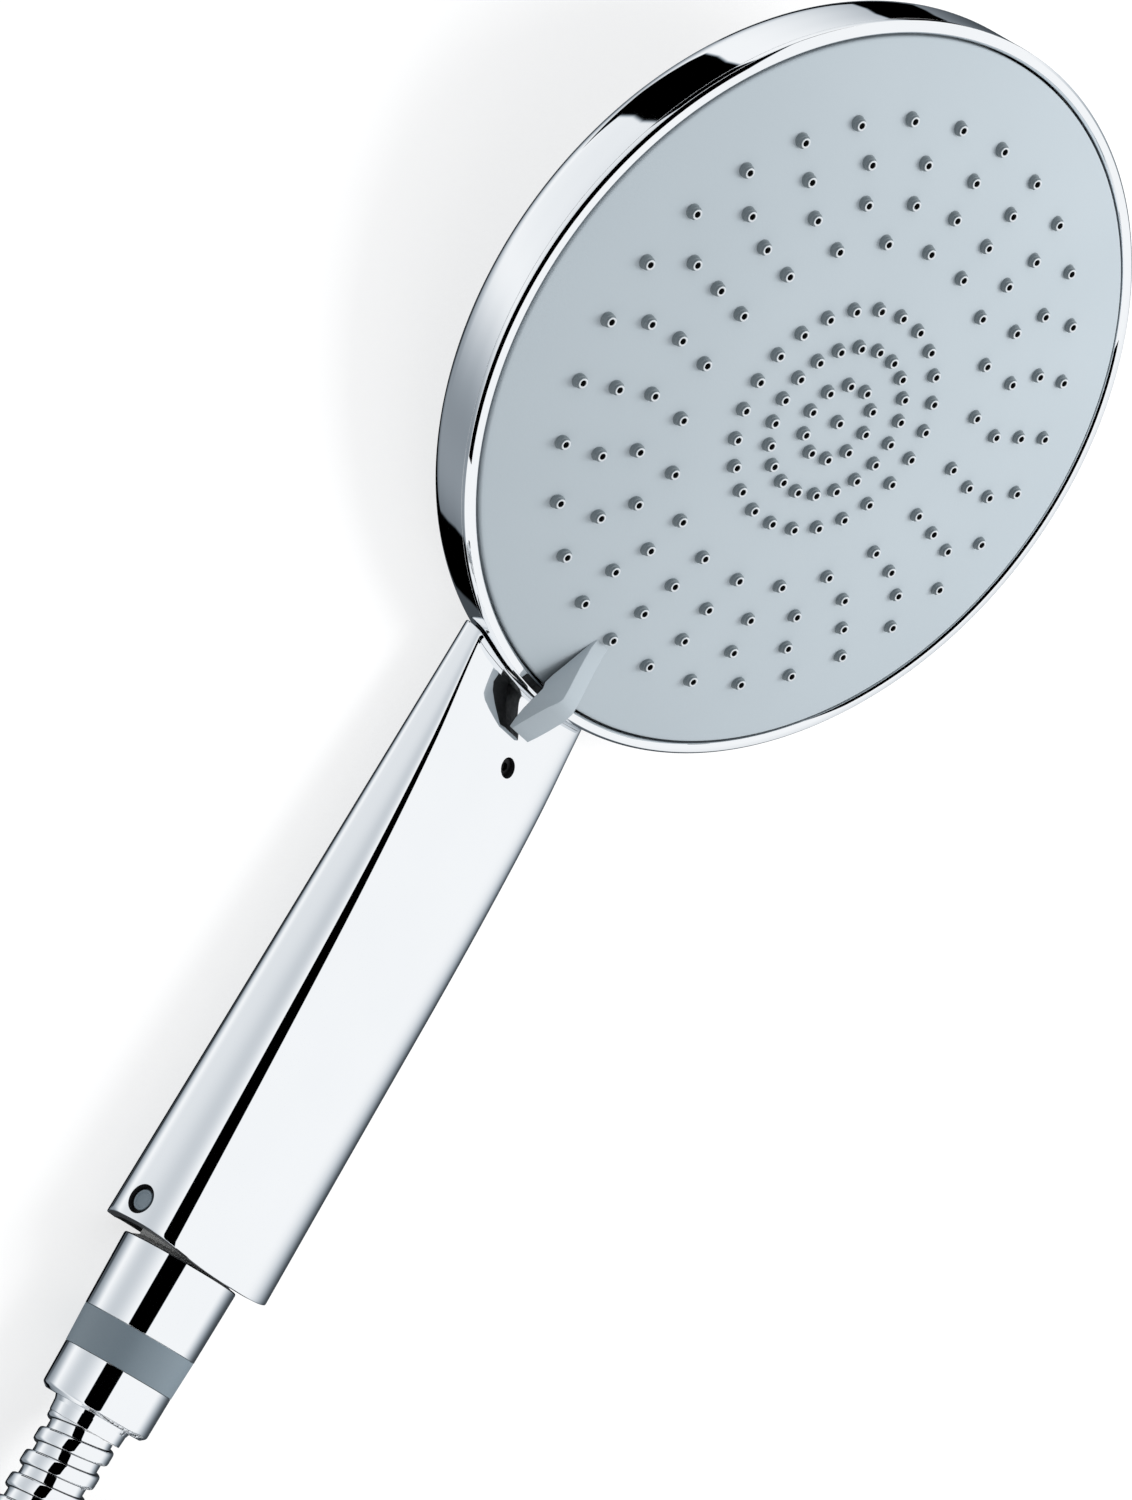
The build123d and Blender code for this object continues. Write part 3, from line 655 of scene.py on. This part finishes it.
def makeLever():
    stations = leverSettings["stations"]
    paintedShadeSides = (0, 4, 5)                 # sides of the section that face the handle, near-black as painted shade
    verts = []
    for r, *section in stations:
        for x, y in leverSection(*section):
            verts.append(crown + sideways * (x * mm) - awayFromHandle * (r * mm) + outward * (y * mm))
    wide = 6                              # points in a section
    faces = []
    kinds = []
    for k in range(len(stations) - 1):
        for i in range(wide):
            a, b = k * wide, (k + 1) * wide
            j = (i + 1) % wide
            faces.append((a + i, a + j, b + j, b + i))
            kinds.append(1 if i in paintedShadeSides else 0)
    faces.append(tuple(range(wide)))
    faces.append(tuple(range((len(stations) - 1) * wide, len(stations) * wide)))
    kinds += [0, 0]
    # the lever's underside and lower flanks get the near-black finish: painted shade, darker than the
    # lever's grey
    lever = newPiece("selectorLever", verts, faces, [plastics["leverGrey"], plastics["innerBlackAndPaintedShade"]],
                     faceBody, [], faceMaterials=kinds)
    bevel = lever.modifiers.new("soften", "BEVEL")
    bevel.width = leverSettings["softEdge"] * mm
    bevel.segments = 3
    bevel.limit_method = "ANGLE"
    bevel.angle_limit = radians(22)


makeLever()


# nozzles: one soft mat, so every nozzle is in one piece
nozzleSettings = {
    # ring radius, count, first angle in degrees
    "rings": [(0, 1, 0), (7.5, 10, 18), (15.0, 20, 0), (22.45, 24, 0), (35.1, 20, 0), (42.65, 24, 0),
              (50.15, 24, 0), (57.7, 30, 6)],
    # radius, height above the face, material of the band that follows it
    "profile": [(1.5, -0.12, 0), (1.38, 0.02, 0), (1.3, 0.12, 0), (1.28, 0.68, 0), (1.2, 0.8, 0),
                # the bands over each tip's rounded top are a painted highlight
                (1.04, 0.84, 0), (1.0, 0.9, 0), (1.0, 1.2, 0), (0.96, 1.29, 1), (0.86, 1.33, 1),
                # the bands down into the hole are near-black, painted shade
                (0.68, 1.33, 1), (0.6, 1.27, 2), (0.56, 1.05, 2), (0.54, -1.2, 2)],
    "around": 24,
}


def makeNozzles():
    s = nozzleSettings
    verts = []
    faces = []
    kinds = []
    around = s["around"]
    third = awayFromHandle
    for ring, count, first in s["rings"]:
        for n in range(count):
            angle = radians(first + 360 * n / count)
            place = sideways * (ring * cos(angle) * mm) + third * (ring * sin(angle) * mm)
            foot = crown + place - outward * (domeDepth(ring) * mm)
            base = len(verts)
            for r, h, _ in s["profile"]:
                for k in range(around):
                    turn = 2 * pi * k / around
                    radial = sideways * cos(turn) + third * sin(turn)
                    verts.append(foot + radial * (r * mm) + outward * (h * mm))
            for p in range(len(s["profile"]) - 1):
                for k in range(around):
                    a = base + p * around
                    b = a + around
                    j = (k + 1) % around
                    faces.append((a + k, a + j, b + j, b + k))
                    kinds.append(s["profile"][p][2])
            last = base + (len(s["profile"]) - 1) * around
            # a near-black face closes each hole's bottom, painted shade
            faces.append(tuple(last + k for k in range(around)))
            kinds.append(2)
    # the nozzle grey, a painted highlight on the tips' tops, and painted shade in the holes
    siliconeAndPaintedLight = [plastics["nozzleGrey"], plastics["nozzleRimPaintedHighlight"], plastics["nozzleHolePaintedShade"]]
    newPiece("nozzles", verts, faces, siliconeAndPaintedLight, faceBody, ["nozzle_mat"],
             faceMaterials=kinds, sharpAngle=60)
    print("nozzles", sum(ring[1] for ring in s["rings"]))


makeNozzles()


# handle: a flat slab at the head that becomes a rounded tube
handleSettings = {
    # place, half width, front, back, widest level, front and back squareness
    "stations": [
        (68.0, 18.7, 3.0, 7.1, -0.4, 9.0, 2.0),
        (82.0, 18.6, 4.6, 7.6, -0.5, 8.5, 2.0),
        (100.0, 18.4, 7.3, 8.3, -0.7, 6.5, 2.1),
        (130.0, 18.1, 9.9, 9.5, -1.0, 4.8, 2.2),
        (165.0, 17.8, 11.6, 10.9, -1.3, 3.8, 2.25),
        (210.0, 17.5, 13.3, 12.75, -1.6, 3.2, 2.3),
    ],
    "squarePlace": 90.0,
    "fineSteps": 4000,
    "startRange": (60.0, 100.0),          # the handle meets the head between these places
    "end": 203.2,
    "endCrown": 1.6,                      # how much shorter the sides are
    "endHalf": 17.5,
    "endSlant": 2.0,                      # how much shorter the back is
    "endLevel": -1.6,                     # the slant starts here, level with the widest place
    "endReach": 14.4,
    "headRadius": 75.4,
    "wall": 1.8,
    "around": 400,
    "rows": 150,
    "lip": 0.25,
    "screwHole": {"place": 94.7, "offset": 2.3, "radius": 2.0},
    "buttonHole": {"place": 197.7, "offset": 0.4, "radius": 2.8},
    "holeDepth": 1.7,
}


# the section at s, on a smooth line through the stations
def handleStation(s):
    table = handleSettings["stations"]
    last = len(table) - 1
    k = max(0, min(last - 1, sum(1 for row in table if row[0] <= s) - 1))
    a, b = table[k], table[k + 1]
    t = (s - a[0]) / (b[0] - a[0])
    values = []
    for i in range(1, 7):
        slopeA = (b[i] - table[max(k - 1, 0)][i]) / (b[0] - table[max(k - 1, 0)][0])
        after = table[min(k + 2, last)]
        slopeB = (after[i] - a[i]) / (after[0] - a[0])
        span = b[0] - a[0]
        h1 = 2 * t ** 3 - 3 * t ** 2 + 1
        h2 = t ** 3 - 2 * t ** 2 + t
        h3 = 3 * t ** 2 - 2 * t ** 3
        h4 = t ** 3 - t ** 2
        values.append(h1 * a[i] + h2 * span * slopeA + h3 * b[i] + h4 * span * slopeB)
    return values


def handlePoint(s, turn, inset):
    half, front, back, level, frontPower, backPower = handleStation(s)
    c, v = cos(turn), sin(turn)
    power = frontPower if v >= 0 else backPower
    reach = (front - level if v >= 0 else back + level) - inset
    x = (half - inset) * abs(c) ** (2 / power) * (1 if c >= 0 else -1)
    y = level + reach * abs(v) ** (2 / power) * (1 if v >= 0 else -1)
    return crossing + sideways * (x * mm) + forward * (y * mm) + along * (s * mm)


# angles that give evenly spaced points on the squarest section
def evenTurns(count):
    s = handleSettings
    fineTurn = 2 * pi / s["fineSteps"]
    fine = [handlePoint(s["squarePlace"], fineTurn * k, 0.0) for k in range(s["fineSteps"] + 1)]
    lengths = [0.0]
    for a, b in zip(fine, fine[1:]):
        lengths.append(lengths[-1] + (b - a).length)
    turns = []
    k = 0
    for i in range(count):
        want = lengths[-1] * i / count
        while lengths[k + 1] < want:
            k += 1
        turns.append(fineTurn * k)
    return turns


def headGap(s, turn, inset):
    offset = handlePoint(s, turn, inset) - crown
    return (offset - outward * offset.dot(outward)).length - handleSettings["headRadius"] * mm


# where the handle's surface meets the round of the head
def handleStart(turn, inset):
    low, high = handleSettings["startRange"]
    for _ in range(30):
        middle = (low + high) / 2
        if headGap(middle, turn, inset) < 0:
            low = middle
        else:
            high = middle
    return high


# the lower end is slightly barrelled across its width, and shorter at the back
def handleFinish(turn, inset):
    s = handleSettings
    place = handlePoint(s["end"], turn, inset) - crossing
    barrel = s["endCrown"] * abs(place.dot(sideways) / mm / s["endHalf"]) ** 3
    slant = s["endSlant"] * max(0.0, s["endLevel"] - place.dot(forward) / mm) / s["endReach"]
    return s["end"] - max(barrel, slant)


# opens a round hole in the outer skin and gives it a wall
def cutRoundHole(work, center, axis, radius, depth):
    axis = axis.normalized()

    def off(point):
        offset = point - center
        return offset - axis * offset.dot(axis)

    def skinWithin(reach):
        found = []
        for face in work.faces:
            middle = face.calc_center_median()
            outside = face.normal.dot(axis) > 0.3 and (middle - center).dot(axis) > 0
            if outside and off(middle).length < reach:
                found.append(face)
        return found

    # finer faces round the hole, so its edge is round
    edges = list(dict.fromkeys(e for f in skinWithin(radius * 1.3) for e in f.edges))
    bmesh.ops.subdivide_edges(work, edges=edges, cuts=4, use_grid_fill=True)
    bmesh.ops.delete(work, geom=skinWithin(radius), context="FACES")
    rim = [e for e in work.edges if len(e.link_faces) == 1
           and (e.verts[0].co - center).dot(axis) > 0 and off(e.verts[0].co).length < radius * 1.4]
    for vert in {v for e in rim for v in e.verts}:
        flat = off(vert.co)
        vert.co += flat.normalized() * radius - flat
    wall = bmesh.ops.extrude_edge_only(work, edges=rim)["geom"]
    for face in [g for g in wall if isinstance(g, bmesh.types.BMFace)]:
        face.material_index = 1
    for vert in [g for g in wall if isinstance(g, bmesh.types.BMVert)]:
        vert.co -= axis * depth


def makeHandle():
    s = handleSettings
    turns = evenTurns(s["around"])
    rows = s["rows"]
    verts = []
    columns = []
    for turn in turns:
        column = []
        for inset, reverse in ((0.0, False), (s["wall"], True)):
            start, finish = handleStart(turn, inset), handleFinish(turn, inset)
            line = []
            for k in range(rows + 1):
                t = k / rows
                line.append(handlePoint(start + (finish - start) * t, turn, inset))
            # the lip of each end is rounded over
            if not reverse:
                lip = ((0.0, s["lip"]), (s["lip"] * 0.3, s["lip"] * 0.3), (s["lip"], 0.0))
                line[0:1] = [handlePoint(start + step, turn, drop) for step, drop in lip]
                line[-1:] = [handlePoint(finish - step, turn, drop) for step, drop in reversed(lip)]
            column += reversed(line) if reverse else line
        columns.append(column)
    high = len(columns[0])
    for column in columns:
        verts += column
    faces = []
    kinds = []
    outer = high - rows - 1
    for c in range(len(columns)):
        a = c * high
        b = ((c + 1) % len(columns)) * high
        for k in range(high):
            j = (k + 1) % high
            faces.append((a + k, a + j, b + j, b + k))
            kinds.append(1 if outer - 1 <= k < high - 1 else 0)
    handle = newPiece("handleBody", verts, faces, [chrome, plastics["innerBlackAndPaintedShade"]], fixedBody,
                      ["handle_shell"], faceMaterials=kinds)
    work = bmesh.new()
    work.from_mesh(handle.data)
    for hole, axis, across in ((s["screwHole"], forward, sideways), (s["buttonHole"], -sideways, forward)):
        center = crossing + along * (hole["place"] * mm) + across * (hole["offset"] * mm)
        cutRoundHole(work, center, axis, hole["radius"] * mm, s["holeDepth"] * mm)
    work.to_mesh(handle.data)
    work.free()
    handle.data.shade_smooth()
    handle.data.set_sharp_from_angle(angle=radians(40))


makeHandle()
print("handle made")


# union nut and ferrule, turned about the handle axis
nutSettings = {
    "sleeve": [(10.53, 203.35, 0.1), (11.45, 203.35, 0.1), (11.6, 203.6, 0.12), (11.25, 217.85, 0.12),
               (10.0, 217.85, 0), (10.0, 223.0, 0), (7.7, 223.0, 0), (7.7, 221.1, 0), (9.1, 221.1, 0),
               (9.1, 216.6, 0), (10.53, 216.6, 0)],
    "band": [(10.02, 217.9, 0), (11.22, 217.9, 0.12), (10.9, 225.35, 0.12), (10.02, 225.35, 0)],
    "lower": [(8.92, 225.4, 0), (10.85, 225.4, 0.12), (10.7, 233.6, 0.9), (9.7, 234.4, 0.5),
              (8.6, 234.4, 0.3), (8.3, 233.6, 0.1), (8.3, 229.2, 0), (8.92, 229.2, 0)],
    "ferrule": [(5.25, 229.4, 0), (7.9, 229.4, 0.1), (7.9, 233.6, 0.3), (7.3, 235.2, 0.5),
                (7.15, 237.35, 0.2), (5.25, 237.35, 0)],
}
nutPieces = [
    ("nutSleeve", "sleeve", nutBody, "nut_sleeve", chrome, "chromed_fitting"),
    ("gripBand", "band", nutBody, "grip_band", plastics["trimGrey"], "grey_trim"),
    ("lowerSleeve", "lower", nutBody, "lower_sleeve", chrome, "chromed_fitting"),
    ("hoseFerrule", "ferrule", fixedBody, "ferrule", chrome, "chromed_fitting"),
]
for name, profile, body, node, material, slotName in nutPieces:
    turnedPiece(name, nutSettings[profile], crossing, along, body, [node], material)

# button, dished a little on its face
buttonSettings = {
    "place": 197.7,
    "level": 0.4,
    "profile": [(0.01, 16.85, 0), (1.3, 16.9, 0.5), (1.65, 17.12, 0.2), (1.98, 17.1, 0.3),
                (1.98, 13.8, 0.1), (3.2, 13.8, 0.2), (3.2, 12.0, 0.1), (1.9, 12.0, 0),
                (1.9, 15.5, 0), (0.01, 15.5, 0)],
}
buttonMiddle = crossing + along * (buttonSettings["place"] * mm) + forward * (buttonSettings["level"] * mm)
turnedPiece("releaseButton", buttonSettings["profile"], buttonMiddle, -sideways, buttonBody,
            ["release_button"], plastics["trimGrey"], segments=64, steps=4)
print("nut and button made")


# finishes of the pieces that keep their CAD shape
nodeFinishes = {
    "chamber_plate": plastics["whiteNylon"], "spray_disc": plastics["whiteNylon"],
    "water_tube": plastics["whiteNylon"], "inlet_connector": plastics["whiteNylon"],
    "end_plug": plastics["innerBlackAndPaintedShade"], "flow_regulator": plastics["nozzleGrey"],
    "head_gasket": plastics["blackRubber"], "port_seals": plastics["blackRubber"],
    "hub_seal": plastics["blackRubber"], "tube_o_rings": plastics["blackRubber"],
    "hose_washer": plastics["blackRubber"], "end_washer": plastics["blackRubber"],
    "click_spring": metals["brushedSteel"], "chamber_screws": metals["brushedSteel"],
    "pivot_screw": metals["brushedSteel"], "fixing_screw": metals["blackSteel"],
    "button_spring": metals["brushedSteel"], "inlet_strainer": metals["brushedSteel"],
    "hose_insert": metals["machinedBrass"], "end_nut": chrome, "end_insert": chrome,
}
for node, material in nodeFinishes.items():
    frame["nodes"][node].data.materials.clear()
    frame["nodes"][node].data.materials.append(material)


# floor: a light table, whose own glow thins the shadows
floorSettings = {
    "size": 6.0,                          # in metres
    "color": (0.3, 0.3, 0.3, 1),
    "shade": (0.28, 0.28, 0.28, 1),
    "toneScale": 3.0,
    "roughness": 0.85,
    "glow": 0.72,
}


def addFloor():
    s = floorSettings
    half = s["size"] / 2
    mesh = bpy.data.meshes.new("floor")
    corners = [(-half, -half, 0), (half, -half, 0), (half, half, 0), (-half, half, 0)]
    mesh.from_pydata(corners, [], [(0, 1, 2, 3)])
    floor = bpy.data.objects.new("floor", mesh)
    bpy.context.scene.collection.objects.link(floor)
    material, board = newMaterial("paleFloor")
    tone = objectNoise(board, s["toneScale"])
    shader = finishSurface(board, board.mix(tone, s["shade"], s["color"]), s["roughness"], 0.0)
    board.give(shader.inputs["Emission Color"], (1, 1, 1, 1))
    board.give(shader.inputs["Emission Strength"], s["glow"])
    mesh.materials.append(material)
    floor.visible_glossy = False


addFloor()
bpy.context.scene.view_settings.view_transform = "Standard"
print("floor laid")
